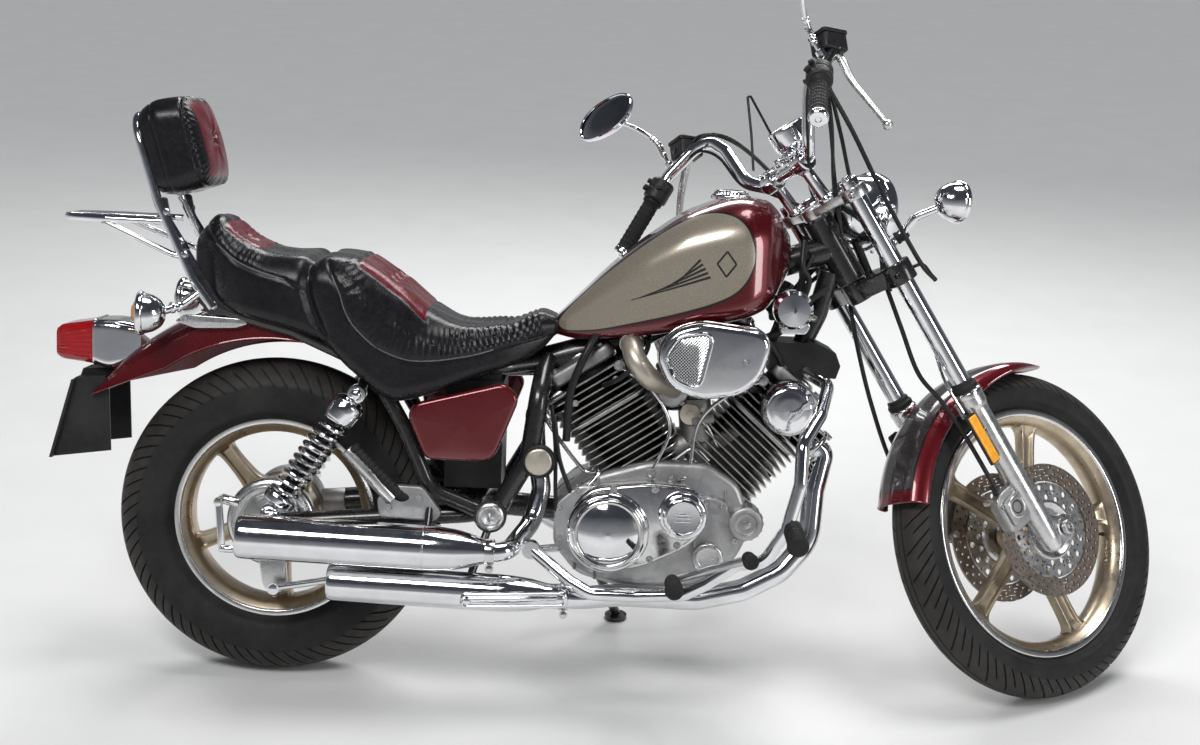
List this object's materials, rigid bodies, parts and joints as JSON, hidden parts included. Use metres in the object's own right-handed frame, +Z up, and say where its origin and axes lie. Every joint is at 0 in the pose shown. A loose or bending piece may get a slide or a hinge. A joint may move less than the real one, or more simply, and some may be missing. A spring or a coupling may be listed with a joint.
{
  "type": "cruiser motorcycle",
  "caption": "Dark red and champagne cruiser motorcycle on its side stand, with a finned V-twin engine, stepped leather seat and padded backrest.",
  "frame": {"origin": "On the floor, below the middle of the parked machine's outer box.", "axes": "+X forward along the machine, +Y to the rider's left, +Z up."},
  "size_m": [2.2554, 0.8278, 1.5016],
  "materials": {
    "paint": "dark red metallic gloss",
    "black_metal": "satin black",
    "grey_alloy": "cast satin",
    "gold_alloy": "champagne satin",
    "chrome": "polished",
    "steel": "brushed",
    "tyre": "matt",
    "rubber": "matt",
    "black_plastic": "matt",
    "seat_leather": "black with red panels",
    "red_lens": "clear red",
    "clear_glass": "clear",
    "engine_black": "black with bright fin edges"
  },
  "bodies": {
    "chassis": {"air_filter_covers": "chrome", "backrest_pad": "seat_leather", "battery_box": "black_plastic", "carburettors": "grey_alloy", "engine_cases": "grey_alloy", "engine_covers": "chrome", "engine_guards": "chrome", "exhaust_headers": "chrome", "foot_controls": "steel", "foot_pegs": "rubber", "frame": "black_metal", "front_cowl": "black_plastic", "front_cylinder": "engine_black", "fuel_tank": "paint", "horns": "chrome", "luggage_rack": "chrome", "mufflers": "chrome", "plate_bracket": "black_plastic", "rear_cylinder": "engine_black", "rear_fender": "paint", "rear_signals": "chrome", "seat": "seat_leather", "shocks": "chrome", "side_covers": "paint", "sissy_bar": "chrome", "swingarm": "black_metal", "tail_lamp": "chrome", "tail_lens": "red_lens"},
    "front_wheel": {"front_discs": "steel", "front_rim": "gold_alloy", "front_tyre": "tyre"},
    "rear_wheel": {"rear_rim": "gold_alloy", "rear_tyre": "tyre"},
    "fork": {"brake_calipers": "grey_alloy", "fork_cables": "black_plastic", "fork_legs": "grey_alloy", "fork_yokes": "grey_alloy", "front_fender": "paint", "front_signals": "chrome", "gauge": "chrome", "grips": "rubber", "hand_controls": "black_plastic", "handlebar": "chrome", "headlight": "chrome", "headlight_lens": "clear_glass", "mirrors": "chrome"},
    "side_stand_body": {"side_stand": "black_metal"}
  },
  "joints": [
    {"name": "steering", "type": "hinge", "parent": "chassis", "child": "fork", "pos_m": [0.41516, 0.04181, 0.86474], "axis": [-0.5306, 0.1472, 0.8347], "range_deg": [-72, 0]},
    {"name": "front_wheel_spin", "type": "hinge", "parent": "fork", "child": "front_wheel", "pos_m": [0.8339, -0.0168, 0.30149], "axis": [-0.4982, 0.7426, -0.4476], "continuous": true},
    {"name": "rear_wheel_spin", "type": "hinge", "parent": "chassis", "child": "rear_wheel", "pos_m": [-0.68014, -0.0556, 0.31232], "axis": [0, 0.9848, -0.1736], "continuous": true},
    {"name": "side_stand_fold", "type": "hinge", "parent": "chassis", "child": "side_stand_body", "pos_m": [-0.04095, 0.07371, 0.18184], "axis": [0.1166, 0.8129, -0.5706], "range_deg": [0, 95]}
  ]
}
